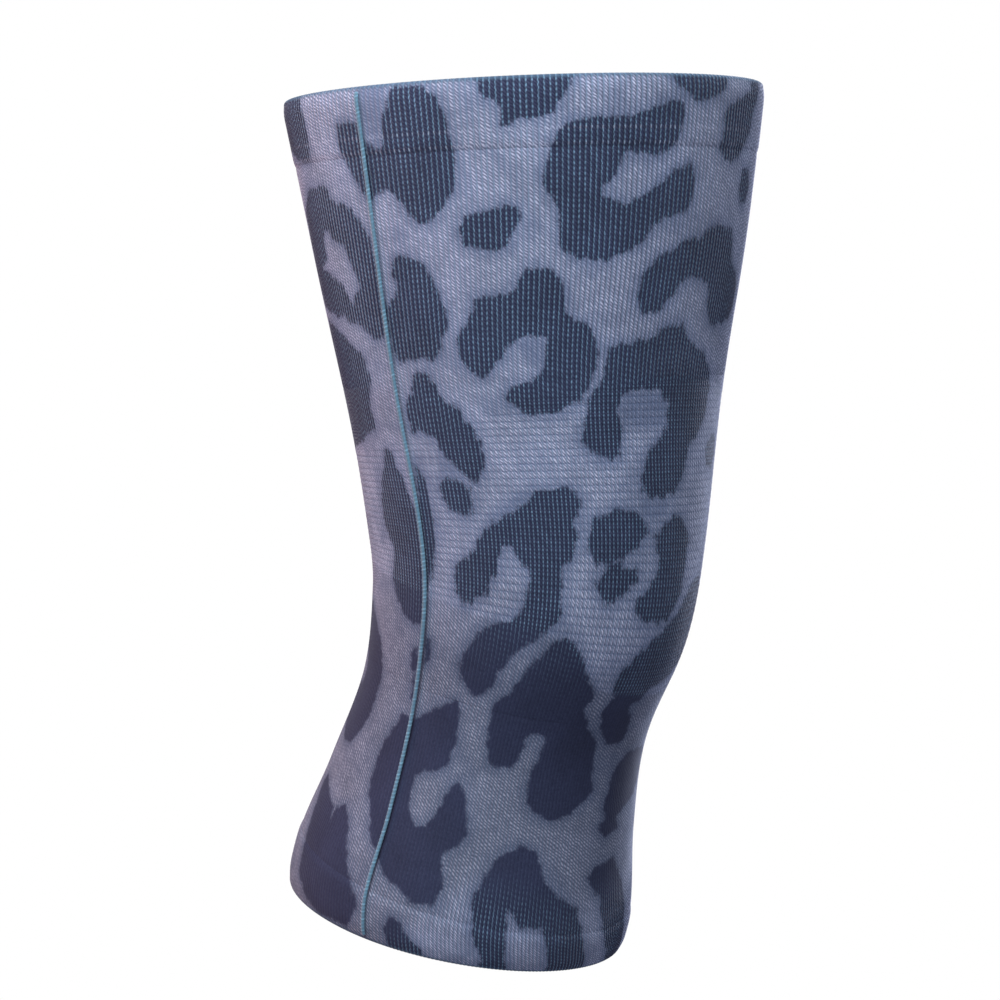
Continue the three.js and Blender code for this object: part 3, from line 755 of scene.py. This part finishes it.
class KnitTree(Tree):
    """The nodes of a printed knit, a part at a time, with the sockets that the parts share."""

    def __init__(self, knit: PrintedKnit) -> None:
        """Read the map and the values that the mesh carries, and lay the noises.

        Args:
            knit: The finish.
        """
        super().__init__(bpy.data.materials.new(knit.name))
        self.knit = knit
        knit_map = self.add("UVMap", uv_map="knit")
        self.u, self.v = (self.add("SeparateXYZ", knit_map, out=axis) for axis in (0, 1))
        self.spot_depth, self.hazed, self.zone_depth, self.dense, self.printed = (
            self.add("Attribute", attribute_name=carried, out=2)
            for carried in ("spot", "haze", "zone", "dense", "printed")
        )
        place = self.add("TexCoord", out=3)
        self.grain, self.fine, self.cloud, self.mottle = (
            self.add("TexNoise", names={"Vector": place, "Scale": 1 / (noise.size * METRES), "Detail": noise.detail})
            for noise in (knit.grain, knit.fine_grain, knit.cloud, knit.mottle)
        )

    def lay_stitches(self) -> None:
        """Lay the wales, their ribs and the slanted stitches on the crests, which wander a little."""
        add, knit = self.add, self.knit
        wale = add("Math", self.u, operation="ROUND")
        self.wale_chance = add("TexWhiteNoise", wale, noise_dimensions="1D")
        rib = add("Math", add("Math", self.u, math.tau, operation="MULTIPLY"), operation="COSINE")
        self.crest = add("MapRange", rib, -1.0, 1.0, 0.0, 1.0)
        self.valley = add("MapRange", rib, *knit.valley_range, 1.0, 0.0, **SMOOTH)
        courses = add("Math", self.v, 1 / knit.tick_pitch, operation="MULTIPLY")
        slant = add("Math", wale, knit.wale_drop, courses, operation="MULTIPLY_ADD")
        tick_drop = add("MapRange", self.dense, 0.0, 1.0, knit.tick_drop, knit.wale_drop)
        across = add("Math", self.u, wale, operation="SUBTRACT")
        slant = add("Math", across, tick_drop, slant, operation="MULTIPLY_ADD")
        slant = add("Math", self.wale_chance, knit.wale_wander, slant, operation="MULTIPLY_ADD")
        slant = add("Math", self.grain, knit.grain_wander, slant, operation="MULTIPLY_ADD")
        stitch = add("CombineXYZ", wale, add("Math", slant, operation="FLOOR"), 0.0)
        self.stitch_chance = add("TexWhiteNoise", stitch, noise_dimensions="2D")
        wave = add("Math", add("Math", slant, math.tau, operation="MULTIPLY"), operation="SINE")
        self.tick = add("MapRange", wave, -1.0, 1.0, 0.0, 1.0)
        # Painted light of the stitches: tick_light is a painted highlight on each slanted stitch, fainter on some,
        # with painted shade down in the rib valleys
        chance_light = add("MapRange", self.stitch_chance, 0.0, 1.0, knit.faintest_tick, 1.0)
        crest_light = add("MapRange", self.crest, 0.0, 1.0, knit.valley_light, 1.0)
        tick_light = add("Math", self.tick, chance_light, operation="MULTIPLY")
        self.tick_light = add("Math", tick_light, crest_light, operation="MULTIPLY")
        self.open_knit = add("MapRange", self.dense, 0.0, 1.0, 1.0, knit.drawn_in_dot)

    def lay_cross_ridges(self) -> None:
        """Lay the cross ridges of the knee zone, with a row of small holes in each valley."""
        add, knit = self.add, self.knit
        zone_edge = add("Math", self.grain, knit.zone_wander, self.zone_depth, operation="MULTIPLY_ADD")
        self.in_zone = add("MapRange", zone_edge, *knit.zone_range, 0.0, 1.0, **SMOOTH)
        self.ridge_turn = add("Math", self.v, math.tau / knit.zone.ridge_pitch, operation="MULTIPLY")
        ridge = add("Math", self.ridge_turn, operation="COSINE")
        ridge_valley = add("MapRange", ridge, *knit.ridge_valley_range, 1.0, 0.0, **SMOOTH)
        # Painted highlight along the crest of each cross ridge
        ridge_highlight = add("MapRange", ridge, *knit.ridge_highlight_range, 0.0, knit.ridge_highlight_share, **SMOOTH)
        self.ridge_highlight = add("Math", ridge_highlight, self.in_zone, operation="MULTIPLY")
        # The holes in the ridge valleys are sunk by the relief and painted dark, as painted shade
        hole_and_shade = add("MapRange", self.crest, *knit.hole_range, knit.hole_join, 1.0, **SMOOTH)
        for share in (ridge_valley, self.in_zone, knit.hole_share):
            hole_and_shade = add("Math", hole_and_shade, share, operation="MULTIPLY")
        self.hole_and_shade = hole_and_shade

    def ground_colour(self) -> bpy.types.NodeSocket:
        """Colour the light ground, with soft clouds and a halo round each spot where the dye has spread.

        Returns:
            The ground's colour.
        """
        add, knit = self.add, self.knit
        # Painted stitch highlights and shade: the ground runs from ground_shadow through ground to ground_highlight
        # with tick_light
        lit = add("MapRange", self.tick_light, *knit.lit_range, 0.0, 1.0, **SMOOTH)
        bright = add("MapRange", self.tick_light, *knit.bright_range, 0.0, knit.bright_share, **SMOOTH)
        yarn = add("Math", self.valley, knit.valley_share, operation="MULTIPLY")
        ground = add("Mix", lit, linear(knit.ground_shadow), linear(knit.ground), **COLOUR)
        ground = add("Mix", bright, ground, linear(knit.ground_highlight), **COLOUR)
        ground = add("Mix", yarn, ground, linear(knit.valley_yarn), **COLOUR)
        # Painted highlight on the crests of the cross ridges
        ground = add("Mix", self.ridge_highlight, ground, linear(knit.ground_highlight), **COLOUR)
        spread = add("Math", self.cloud, knit.halo_wander, self.spot_depth, operation="MULTIPLY_ADD")
        halo = add("MapRange", spread, *knit.halo_range, 0.0, knit.halo_share, **SMOOTH)
        clouds = add("MapRange", self.cloud, *knit.cloud_range, 0.0, knit.cloud_share, **SMOOTH)
        dye = add("Math", add("Math", self.hazed, knit.haze_share, operation="MULTIPLY"), halo, operation="MAXIMUM")
        dye = add("Math", dye, clouds, operation="MAXIMUM")
        ground = add("Mix", dye, ground, linear(knit.hazed), **COLOUR)
        # Painted shade: the ground is darker where the knit is drawn in, below the knee zone towards the calf
        shade = add("MapRange", self.dense, 0.0, 1.0, 1.0, knit.drawn_in_shade)
        shade = add("CombineXYZ", shade, shade, shade)
        ground = add("Mix", 1.0, ground, shade, blend_type="MULTIPLY", **COLOUR)
        # Painted shade in the holes of the ridge valleys
        return add("Mix", self.hole_and_shade, ground, linear(knit.hazed), **COLOUR)

    def spot_colour(self) -> bpy.types.NodeSocket:
        """Colour the dark spots, with the dotted yarn in their valleys where the knit is open.

        Returns:
            The spots' colour.
        """
        add, knit = self.add, self.knit
        dot_turn = add("Math", self.v, math.tau / knit.dot_pitch, operation="MULTIPLY")
        dot_turn = add("Math", self.wale_chance, math.tau, dot_turn, operation="MULTIPLY_ADD")
        dot = add("Math", dot_turn, operation="COSINE")
        zone_turn = add("Math", self.ridge_turn, knit.dots_a_ridge, operation="MULTIPLY")
        dot = add("Mix", self.in_zone, dot, add("Math", zone_turn, operation="COSINE"), data_type="FLOAT")
        dot = add("MapRange", dot, *knit.dot_range, knit.dot_join, 1.0, **SMOOTH)
        chance_light = add("MapRange", self.stitch_chance, 0.0, 1.0, knit.faintest_dot, 1.0)
        for share in (self.valley, chance_light, self.open_knit):
            dot = add("Math", dot, share, operation="MULTIPLY")
        fine_light = add("MapRange", self.fine, *knit.fine_range, *knit.fine_lights)
        # In open knit the spot carries the painted stitch highlights of tick_light, from spot to spot_lit; in
        # drawn-in knit a fine random grain instead
        light = add("Mix", self.dense, self.tick_light, fine_light, data_type="FLOAT")
        spot = add("Mix", light, linear(knit.spot), linear(knit.spot_lit), **COLOUR)
        spot = add("Mix", dot, spot, linear(knit.valley_yarn), **COLOUR)
        # Painted shade in the holes of the ridge valleys
        return add("Mix", self.hole_and_shade, spot, linear(knit.spot), **COLOUR)

    def printed_colour(self, ground: bpy.types.NodeSocket, spot: bpy.types.NodeSocket) -> bpy.types.NodeSocket:
        """Lay the spots on the ground with a soft, uneven edge, which ends wale by wale where the knit is open.

        Args:
            ground: The ground's colour.
            spot: The spots' colour.

        Returns:
            The colour of the print.
        """
        add, knit = self.add, self.knit
        noises = (self.wale_chance, self.grain, self.fine)
        wale, grain, fine = (add("Math", noise, NOISE_MIDDLE, operation="SUBTRACT") for noise in noises)
        jitter = add("Math", wale, knit.edge_jitter, operation="MULTIPLY")
        edge = add("Math", jitter, self.open_knit, self.spot_depth, operation="MULTIPLY_ADD")
        edge = add("Math", grain, knit.edge_grain, edge, operation="MULTIPLY_ADD")
        edge = add("Math", fine, knit.edge_fine_grain, edge, operation="MULTIPLY_ADD")
        inked = add("MapRange", edge, -knit.edge_softness, knit.edge_softness, 0.0, 1.0, **SMOOTH)
        return add("Mix", inked, ground, spot, **COLOUR)

    def hem_rows(self, colour: bpy.types.NodeSocket) -> bpy.types.NodeSocket:
        """Lay a hem's faint rows of stitches and its folded rims on the print.

        Args:
            colour: The colour so far.

        Returns:
            The colour with the rows on it.
        """
        add, knit = self.add, self.knit
        for row in knit.stitch_rows:
            away = add("Math", add("Math", self.v, row, operation="SUBTRACT"), operation="ABSOLUTE")
            on_row = add("MapRange", away, *knit.stitch_row_range, knit.stitch_row_share, 0.0, **SMOOTH)
            for share in (self.valley, self.stitch_chance):
                on_row = add("Math", on_row, share, operation="MULTIPLY")
            colour = add("Mix", on_row, colour, linear(knit.ground_highlight), **COLOUR)
        for fold in knit.folds:
            away = add("Math", add("Math", self.v, fold, operation="SUBTRACT"), operation="ABSOLUTE")
            on_fold = add("MapRange", away, *knit.fold_range, knit.fold_share, 0.0, **SMOOTH)
            yarn = add("Math", self.valley, knit.fold_valley_share, operation="MULTIPLY")
            yarn = add("Mix", yarn, linear(knit.fold_yarn), linear(knit.valley_yarn), **COLOUR)
            colour = add("Mix", on_fold, colour, yarn, **COLOUR)
        return colour

    def toned(self, colour: bpy.types.NodeSocket) -> bpy.types.NodeSocket:
        """Vary the print's tone slowly, and leave the inner face its bare yarn.

        Args:
            colour: The colour of the outer face.

        Returns:
            The colour of the whole wall.
        """
        add, knit = self.add, self.knit
        tone = add("MapRange", self.mottle, *knit.mottle_range, *knit.mottle_tones)
        tone = add("CombineXYZ", tone, tone, tone)
        colour = add("Mix", 1.0, colour, tone, blend_type="MULTIPLY", **COLOUR)
        # The bare inner face carries the same painted stitch highlights and shade
        bare = add("Mix", self.tick_light, linear(knit.hazed), linear(knit.bare_yarn), **COLOUR)
        return add("Mix", self.printed, bare, colour, **COLOUR)

    def finish(self, colour: bpy.types.NodeSocket) -> None:
        """Give the knit its soft sheen and the fine relief of its stitches.

        Args:
            colour: The colour of the whole wall.
        """
        add, knit = self.add, self.knit
        height = add("Math", self.tick, knit.tick_relief, self.crest, operation="MULTIPLY_ADD")
        height = add("Math", self.hole_and_shade, knit.hole_relief, height, operation="MULTIPLY_ADD")
        strength = add("MapRange", self.dense, 0.0, 1.0, *knit.relief_strengths)
        bump = add("Bump", names={"Strength": strength, "Distance": knit.relief * METRES, "Height": height})
        sheen = add("MapRange", self.dense, 0.0, 1.0, *knit.sheens)
        shader = add("BsdfPrincipled", names={
            "Base Color": colour, "Normal": bump, "Roughness": knit.roughness, "IOR": knit.ior,
            "Specular IOR Level": knit.specular, "Sheen Weight": sheen, "Sheen Roughness": knit.sheen_roughness,
            "Sheen Tint": linear(knit.sheen_tint),
        })
        add("OutputMaterial", shader)


@dataclass(frozen=True)
class SeamThread:
    """Textured nylon overlock thread, wrapped slantwise round the seam, which reads as a fine teal cord."""

    name: str = "seam_thread"
    thread: str = "#4B7288"
    thread_lit: str = "#6691A6"
    thread_shade: str = "#3C5D72"
    wrap_pitch: float = 1.25
    faintest_wrap: float = 0.5
    bright_range: tuple[float, float] = (0.55, 1.0)
    bright_share: float = 0.7
    roughness: float = 0.7
    ior: float = 1.5
    specular: float = 0.35
    sheen: float = 0.2
    sheen_roughness: float = 0.4

    def build(self) -> bpy.types.Material:
        """Build the material from the cord's own map, which gives turns round it and millimetres along it.

        Returns:
            The material.
        """
        tree = Tree(bpy.data.materials.new(self.name))
        add = tree.add
        knit_map = add("UVMap", uv_map="knit")
        turn, v = (add("SeparateXYZ", knit_map, out=axis) for axis in (0, 1))
        wraps = add("Math", v, 1 / self.wrap_pitch, turn, operation="MULTIPLY_ADD")
        chance = add("TexWhiteNoise", add("Math", wraps, operation="FLOOR"), noise_dimensions="1D")
        wave = add("Math", add("Math", wraps, math.tau, operation="MULTIPLY"), operation="SINE")
        lit = add("MapRange", wave, -1.0, 1.0, 0.0, 1.0)
        lit = add("Math", lit, add("MapRange", chance, 0.0, 1.0, self.faintest_wrap, 1.0), operation="MULTIPLY")
        # Painted highlight and shade on each wrap of the thread: thread_shade between the wraps, thread_lit on their
        # crests
        colour = add("Mix", lit, linear(self.thread_shade), linear(self.thread), **COLOUR)
        bright = add("MapRange", lit, *self.bright_range, 0.0, self.bright_share, **SMOOTH)
        colour = add("Mix", bright, colour, linear(self.thread_lit), **COLOUR)
        shader = add("BsdfPrincipled", names={
            "Base Color": colour, "Roughness": self.roughness, "IOR": self.ior, "Specular IOR Level": self.specular,
            "Sheen Weight": self.sheen, "Sheen Roughness": self.sheen_roughness,
        })
        add("OutputMaterial", shader)
        return tree.owner


def grid_mesh(name: str, columns: int, rows: int) -> tuple[bpy.types.Mesh, np.ndarray, np.ndarray]:
    """Make a flat grid that a band or cord is wrapped from.

    Args:
        name: The mesh's name.
        columns: Faces across.
        rows: Faces up.

    Returns:
        The mesh, and each vertex's column and row.
    """
    bm = bmesh.new()
    bmesh.ops.create_grid(bm, x_segments=columns, y_segments=rows, size=0.5)
    mesh = bpy.data.meshes.new(name)
    bm.to_mesh(mesh)
    bm.free()
    flat = np.empty(len(mesh.vertices) * 3, dtype=np.float32)
    mesh.vertices.foreach_get("co", flat)
    flat = flat.reshape(-1, 3)
    column = np.rint((flat[:, 0] + 0.5) * columns).astype(int)
    row = np.rint((flat[:, 1] + 0.5) * rows).astype(int)
    return mesh, column, row


def finish_mesh(
    mesh: bpy.types.Mesh, points: np.ndarray, knit_map: np.ndarray, values: dict[str, np.ndarray]
) -> bpy.types.Object:
    """Place a grid's vertices, give them their map and values, weld it shut and turn its faces out.

    Args:
        mesh: The flat grid.
        points: A place for each vertex, in millimetres.
        knit_map: Wale and along for each vertex.
        values: Named values for each vertex.

    Returns:
        The object, in metres, with smooth faces.
    """
    mesh.vertices.foreach_set("co", (points * METRES).astype(np.float32).ravel())
    corner = np.empty(len(mesh.loops), dtype=np.int32)
    mesh.loops.foreach_get("vertex_index", corner)
    layer = mesh.uv_layers.new(name="knit")
    layer.uv.foreach_set("vector", knit_map[corner].astype(np.float32).ravel())
    for name, value in values.items():
        mesh.attributes.new(name, "FLOAT", "POINT").data.foreach_set("value", value.astype(np.float32))
    bm = bmesh.new()
    bm.from_mesh(mesh)
    bmesh.ops.remove_doubles(bm, verts=bm.verts, dist=WELD * METRES)
    bmesh.ops.recalc_face_normals(bm, faces=bm.faces)
    for face in bm.faces:
        face.smooth = True
    bm.to_mesh(mesh)
    bm.free()
    piece = bpy.data.objects.new(mesh.name, mesh)
    bpy.context.scene.collection.objects.link(piece)
    return piece


def ends_drawn_close(first: float, last: float, rows: int, run: float = 0.08) -> np.ndarray:
    """Space rows evenly, but for a short run at each end that keeps the shading of the edge off the face."""
    step = math.copysign(run, last - first)
    return np.concatenate([[first], np.linspace(first + step, last - step, rows - 2), [last]])


@dataclass
class KnitBand:
    """A closed band of knit round the leg: outer face, edges and inner face in one wall."""

    name: str
    node: str
    slot: str
    form: LegForm
    gauge: KnitGauge
    zone: KneeZone
    printed: SpottedPrint
    columns_a_wale: int = 4

    def profile(self) -> list[tuple[float, float, float, float]]:
        """The wall's section once round: along, inset, how much of the ribs shows, and how far it is printed."""
        raise NotImplementedError

    def relief(self, along: np.ndarray, azimuth: np.ndarray, turn: np.ndarray) -> np.ndarray:
        """How far the ribs rise over the mean face, at angles from the seam, which is less in drawn-in knit."""
        kept = 1 - self.gauge.drawn_in_flat * self.zone.dense(along, azimuth)
        return self.gauge.rib_height / 2 * np.cos(turn * self.gauge.wales) * kept

    def build(self, finish: bpy.types.Material) -> bpy.types.Object:
        """Args:
            finish: The knit's material.

        Returns:
            The finished piece.
        """
        profile = np.array(self.profile())
        columns, rows = self.columns_a_wale * self.gauge.wales, len(profile)
        mesh, column, row = grid_mesh(self.name, columns, rows)
        along, inset, shown, inked = (profile[row % rows, i] for i in range(4))
        turn = math.tau * column / columns
        azimuth = self.form.seam(profile[:, 0])[row % rows] + turn
        inset = inset - shown * self.relief(along, azimuth, turn)
        points = self.placed(along, azimuth, inset)
        spot, hazed = self.printed.lay(self.form, along, azimuth)
        inside, dense = self.zone.inside(along, azimuth), self.zone.dense(along, azimuth)
        values = {"spot": spot, "haze": hazed, "zone": inside, "dense": dense, "printed": inked}
        knit_map = np.stack([turn / math.tau * self.gauge.wales, along], axis=-1)
        piece = finish_mesh(mesh, points, knit_map, values)
        piece.data.materials.append(finish)
        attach(piece, "root")
        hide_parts(self.node)
        self.declare()
        log.info("%s: %d faces", self.name, len(piece.data.polygons))
        return piece

    def placed(self, along: np.ndarray, azimuth: np.ndarray, inset: np.ndarray) -> np.ndarray:
        """Place many points, in blocks that keep the memory small."""
        blocks = [slice(start, start + BLOCK) for start in range(0, len(along), BLOCK)]
        return np.concatenate([self.form.place(along[block], azimuth[block], inset[block]) for block in blocks])

    def declare(self) -> None:
        outer = [along for along, _, shown, _ in self.profile() if shown > 0]
        girth = 360 * float(self.form.millimetres_a_degree(np.array(outer)).mean())


@dataclass
class TubeBand(KnitBand):
    """A stretch of the single-layer tube, whose ends dip by tuck over tuck_run, under the next stretch or hem."""

    bottom: float = 0.0
    top: float = 0.0
    outer_rows: int = 44
    inner_rows: int = 6
    tuck: float = 0.12
    tuck_run: float = 0.8

    def profile(self) -> list[tuple[float, float, float, float]]:
        """Follow the tube's wall, up its outer face and down its inner one.

        Returns:
            The wall's section, as every band's.
        """
        face, outer = self.gauge.hem_step, []
        for along in ends_drawn_close(self.bottom, self.top, self.outer_rows):
            dip = self.tuck * max(0.0, 1 - min(along - self.bottom, self.top - along) / self.tuck_run)
            outer.append((along, face + dip, 1.0, 1.0))
        down = np.linspace(self.top, self.bottom, self.inner_rows)
        return outer + [(along, face + self.gauge.thickness, 0.0, 0.0) for along in down]


@dataclass
class KneeBand(TubeBand):
    """The stretch over the knee, with cross ridges inside the zone, ribs outside it and level ends."""

    tuck: float = 0.0

    def relief(self, along: np.ndarray, azimuth: np.ndarray, turn: np.ndarray) -> np.ndarray:
        """Raise cross ridges inside the zone, which fade to ribs at its edge.

        Args:
            along: The places' along.
            azimuth: Their azimuth in radians.
            turn: The same angle, from the seam.

        Returns:
            How far the knit rises over its mean face.
        """
        ribs = super().relief(along, azimuth, turn)
        ridges = self.zone.ridge_height / 2 * np.cos(math.tau * along / self.zone.ridge_pitch)
        share = ease(self.zone.inside(along, azimuth), *self.zone.edge)
        return ribs * (1 - share + self.zone.ribs_kept * share) + ridges * share


@dataclass
class HemBand(KnitBand):
    """The doubled hem of an opening, folded over at its rim and rolled a little inwards there.

    line is where it meets the tube, sunk there by edge_sink and level again after edge_run. The print goes round
    the fold for the share printed_fold of its half turn.
    """

    line: float = 0.0
    rim: float = 0.0
    outer_rows: int = 16
    fold_rows: int = 8
    inner_rows: int = 4
    edge_sink: float = 0.48
    edge_run: float = 2.6
    printed_fold: float = 0.45

    def profile(self) -> list[tuple[float, float, float, float]]:
        """Follow the hem's wall, from its line on the tube to the fold and back inside.

        Returns:
            The wall's section, as every band's.
        """
        side = 1 if self.rim > self.line else -1
        wall, fold = 2 * self.gauge.thickness, self.gauge.thickness
        last = self.rim - side * fold
        outer = []
        for along in ends_drawn_close(self.line, last, self.outer_rows):
            sunk = self.edge_sink * max(0.0, 1 - side * (along - self.line) / self.edge_run) ** 2
            outer.append((along, float(self.gauge.roll(side * (self.rim - along))) + sunk, 1.0, 1.0))
        start = float(self.gauge.roll(fold))
        bend = [
            (self.rim - side * fold * (1 - math.sin(t)), start + fold * (1 - math.cos(t)), 1.0,
             float(t < self.printed_fold * math.pi))
            for t in np.linspace(0, math.pi, self.fold_rows + 2)[1:-1]
        ]
        inner = [
            (along, wall + float(self.gauge.roll(side * (self.rim - along))), 0.0, 0.0)
            for along in np.linspace(last, self.line, self.inner_rows)
        ]
        return outer + bend + inner


@dataclass
class SideSeam:
    """The raised overlock seam down the outer side, from rim to rim."""

    form: LegForm
    gauge: KnitGauge
    wrap_pitch: float
    name: str = "side_seam_stitched"
    width_at_thigh: float = 1.6
    width_at_calf: float = 1.3
    height: float = 0.9
    clearance: float = 0.15
    rim_gap: float = 1.6
    wrap_height: float = 0.05
    row_step: float = 0.31
    sides: int = 14

    def build(self, finish: bpy.types.Material) -> bpy.types.Object:
        """Build, dress and place the seam.

        Args:
            finish: The thread's material.

        Returns:
            The finished piece.
        """
        bottom = self.rim_gap - self.form.length_below_knee
        top = self.form.length_above_knee - self.rim_gap
        rows = round((top - bottom) / self.row_step)
        mesh, column, row = grid_mesh(self.name, self.sides, rows)
        along = bottom + (top - bottom) * row / rows
        turn = math.tau * column / self.sides
        end = np.minimum(row, rows - row) * self.row_step
        size = np.sqrt(1 - (1 - np.clip(end / self.height, 0, 1)) ** 2)
        wraps = np.sin(math.tau * along / self.wrap_pitch + turn)
        size = size * (1 + self.wrap_height * wraps)
        centre = self.form.seam(along)
        reach = np.hypot(*self.form.outline(along, centre))
        width = np.interp(along, (bottom, top), (self.width_at_calf, self.width_at_thigh))
        azimuth = centre + size * width / 2 * np.cos(turn) / reach
        inset = -self.clearance - self.height / 2 - size * self.height / 2 * np.sin(turn)
        from_rim = np.minimum(self.form.length_above_knee - along, along + self.form.length_below_knee)
        inset = inset + self.gauge.roll(from_rim)
        points = self.form.place(along, azimuth, inset)
        knit_map = np.stack([column / self.sides, along], axis=-1)
        piece = finish_mesh(mesh, points, knit_map, {})
        piece.data.materials.append(finish)
        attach(piece, "root")
        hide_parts("side_seam")
        log.info("%s: %d faces", self.name, len(piece.data.polygons))
        return piece


@dataclass(frozen=True)
class Lamp:
    """A square soft light that faces the knee.

    turned and elevation are degrees, the first from the camera. away and size are metres, and power is watts.
    """

    name: str
    turned: float
    elevation: float
    away: float
    size: float
    power: float
    colour: str


@dataclass(frozen=True)
class Studio:
    """A pale floor, soft lights and the camera at the photograph's angle, in degrees and millimetres."""

    azimuth: float = -49.0
    elevation: float = 3.0
    distance: float = 1400.0
    target: tuple[float, float, float] = (-5.45, 6.27, 35.5)
    lens: float = 155.7
    sensor: float = 36.0
    farthest: float = 50000.0
    floor_drop: float = 60.0
    floor_reach: float = 12000.0
    lamps: tuple[Lamp, ...] = (
        Lamp("key", -22, 54, 1.0, 0.8, 26.5, "#FFFDFA"),
        Lamp("fill", 30, 45, 1.4, 1.4, 6, "#EFF5FF"),
        Lamp("warm_side", -98, 15, 1.6, 1.0, 17, "#FF8C78"),
        Lamp("rim_side", 156, 12, 1.6, 1.0, 80, "#E6ECFF"),
    )
    backdrop: str = "#FFFFFF"
    paper_shade: str = "#8C8C92"
    ambience: str = "#EDF0FA"
    ambience_strength: float = 0.17

    def direction(self, azimuth: float, elevation: float) -> Vector:
        """The unit direction towards an azimuth and elevation in degrees."""
        turn, rise = math.radians(azimuth), math.radians(elevation)
        return Vector((math.cos(rise) * math.sin(turn), -math.cos(rise) * math.cos(turn), math.sin(rise)))

    def camera(self) -> None:
        """Set the camera where the photograph was taken from."""
        lens = bpy.data.cameras.new("camera")
        lens.lens, lens.sensor_width = self.lens, self.sensor
        lens.clip_end = self.farthest * METRES
        camera = bpy.data.objects.new("camera", lens)
        away = self.direction(self.azimuth, self.elevation)
        camera.location = (Vector(self.target) + away * self.distance) * METRES
        camera.rotation_euler = away.to_track_quat("Z", "Y").to_euler()
        bpy.context.scene.collection.objects.link(camera)
        bpy.context.scene.camera = camera

    def hang(self, lamp: Lamp) -> None:
        """Hang one light.

        Args:
            lamp: The light.
        """
        data = bpy.data.lights.new(lamp.name, "AREA")
        data.size, data.energy, data.color = lamp.size, lamp.power, linear(lamp.colour)[:3]
        light = bpy.data.objects.new(lamp.name, data)
        towards = self.direction(self.azimuth + lamp.turned, lamp.elevation)
        light.location = towards * lamp.away
        light.rotation_euler = towards.to_track_quat("Z", "Y").to_euler()
        bpy.context.scene.collection.objects.link(light)

    def floor(self) -> None:
        """Lay the pale floor, which looks as bright as the backdrop from the camera and lights the sleeve less."""
        bm = bmesh.new()
        bmesh.ops.create_grid(bm, x_segments=1, y_segments=1, size=self.floor_reach * METRES)
        bmesh.ops.translate(bm, verts=bm.verts, vec=(0, 0, cad_box[0][2] - self.floor_drop * METRES))
        mesh = bpy.data.meshes.new("floor")
        bm.to_mesh(mesh)
        bm.free()
        floor = bpy.data.objects.new("floor", mesh)
        bpy.context.scene.collection.objects.link(floor)
        tree = Tree(bpy.data.materials.new("matt_paper"))
        seen = tree.add("LightPath")
        paper = tree.add("BsdfDiffuse", linear(self.paper_shade))
        glow = tree.add("Emission", linear(self.backdrop), 1.0)
        tree.add("OutputMaterial", tree.add("MixShader", seen, paper, glow))
        mesh.materials.append(tree.owner)

    def surroundings(self) -> None:
        """Put a white backdrop round the sleeve, whose own light on it is set by ambience_strength."""
        tree = Tree(bpy.data.worlds.new("studio"))
        seen = tree.add("LightPath")
        around = tree.add("Background", linear(self.ambience), self.ambience_strength)
        backdrop = tree.add("Background", linear(self.backdrop), 1.0)
        tree.add("OutputWorld", tree.add("MixShader", seen, around, backdrop))
        bpy.context.scene.world = tree.owner

    def build(self) -> None:
        """Build the camera, the floor, the lights and the surroundings."""
        self.camera()
        self.floor()
        for lamp in self.lamps:
            self.hang(lamp)
        self.surroundings()
        bpy.context.scene.view_settings.view_transform = "Standard"


def main() -> None:
    """Build the sleeve's pieces in order, then the studio."""
    logging.basicConfig(level=logging.INFO, format="%(name)s %(message)s")
    form, gauge, zone, spots, thread = LegForm(), KnitGauge(), KneeZone(), SpottedPrint(), SeamThread()
    shared = (form, gauge, zone, spots)
    thigh_rim, calf_rim = form.length_above_knee, -form.length_below_knee
    thigh_line, calf_line = thigh_rim - gauge.thigh_hem_depth, calf_rim + gauge.calf_hem_depth
    stitch_rows = tuple(thigh_rim - depth for depth in gauge.stitch_rows)
    knit = PrintedKnit("printed_knit", zone).build()
    hem_knit = PrintedKnit("hem_knit", zone, stitch_rows, (thigh_rim, calf_rim)).build()
    TubeBand("thigh_knit", "knit_tube", "printed_knit", *shared, bottom=zone.band_top - TUCKED,
             top=thigh_line + HEM_LAP, outer_rows=46).build(knit)
    KneeBand("knee_knit", "knit_tube", "printed_knit", *shared, columns_a_wale=2, bottom=zone.band_bottom,
             top=zone.band_top, outer_rows=181, inner_rows=5).build(knit)
    TubeBand("calf_knit", "knit_tube", "printed_knit", *shared, bottom=calf_line - HEM_LAP,
             top=zone.band_bottom + TUCKED).build(knit)
    HemBand("thigh_hem_knit", "thigh_hem", "hem_knit", *shared, line=thigh_line, rim=thigh_rim).build(hem_knit)
    HemBand("calf_hem_knit", "calf_hem", "hem_knit", *shared, line=calf_line, rim=calf_rim).build(hem_knit)
    SideSeam(form, gauge, thread.wrap_pitch).build(thread.build())
    Studio().build()


if __name__ == "__main__":
    main()
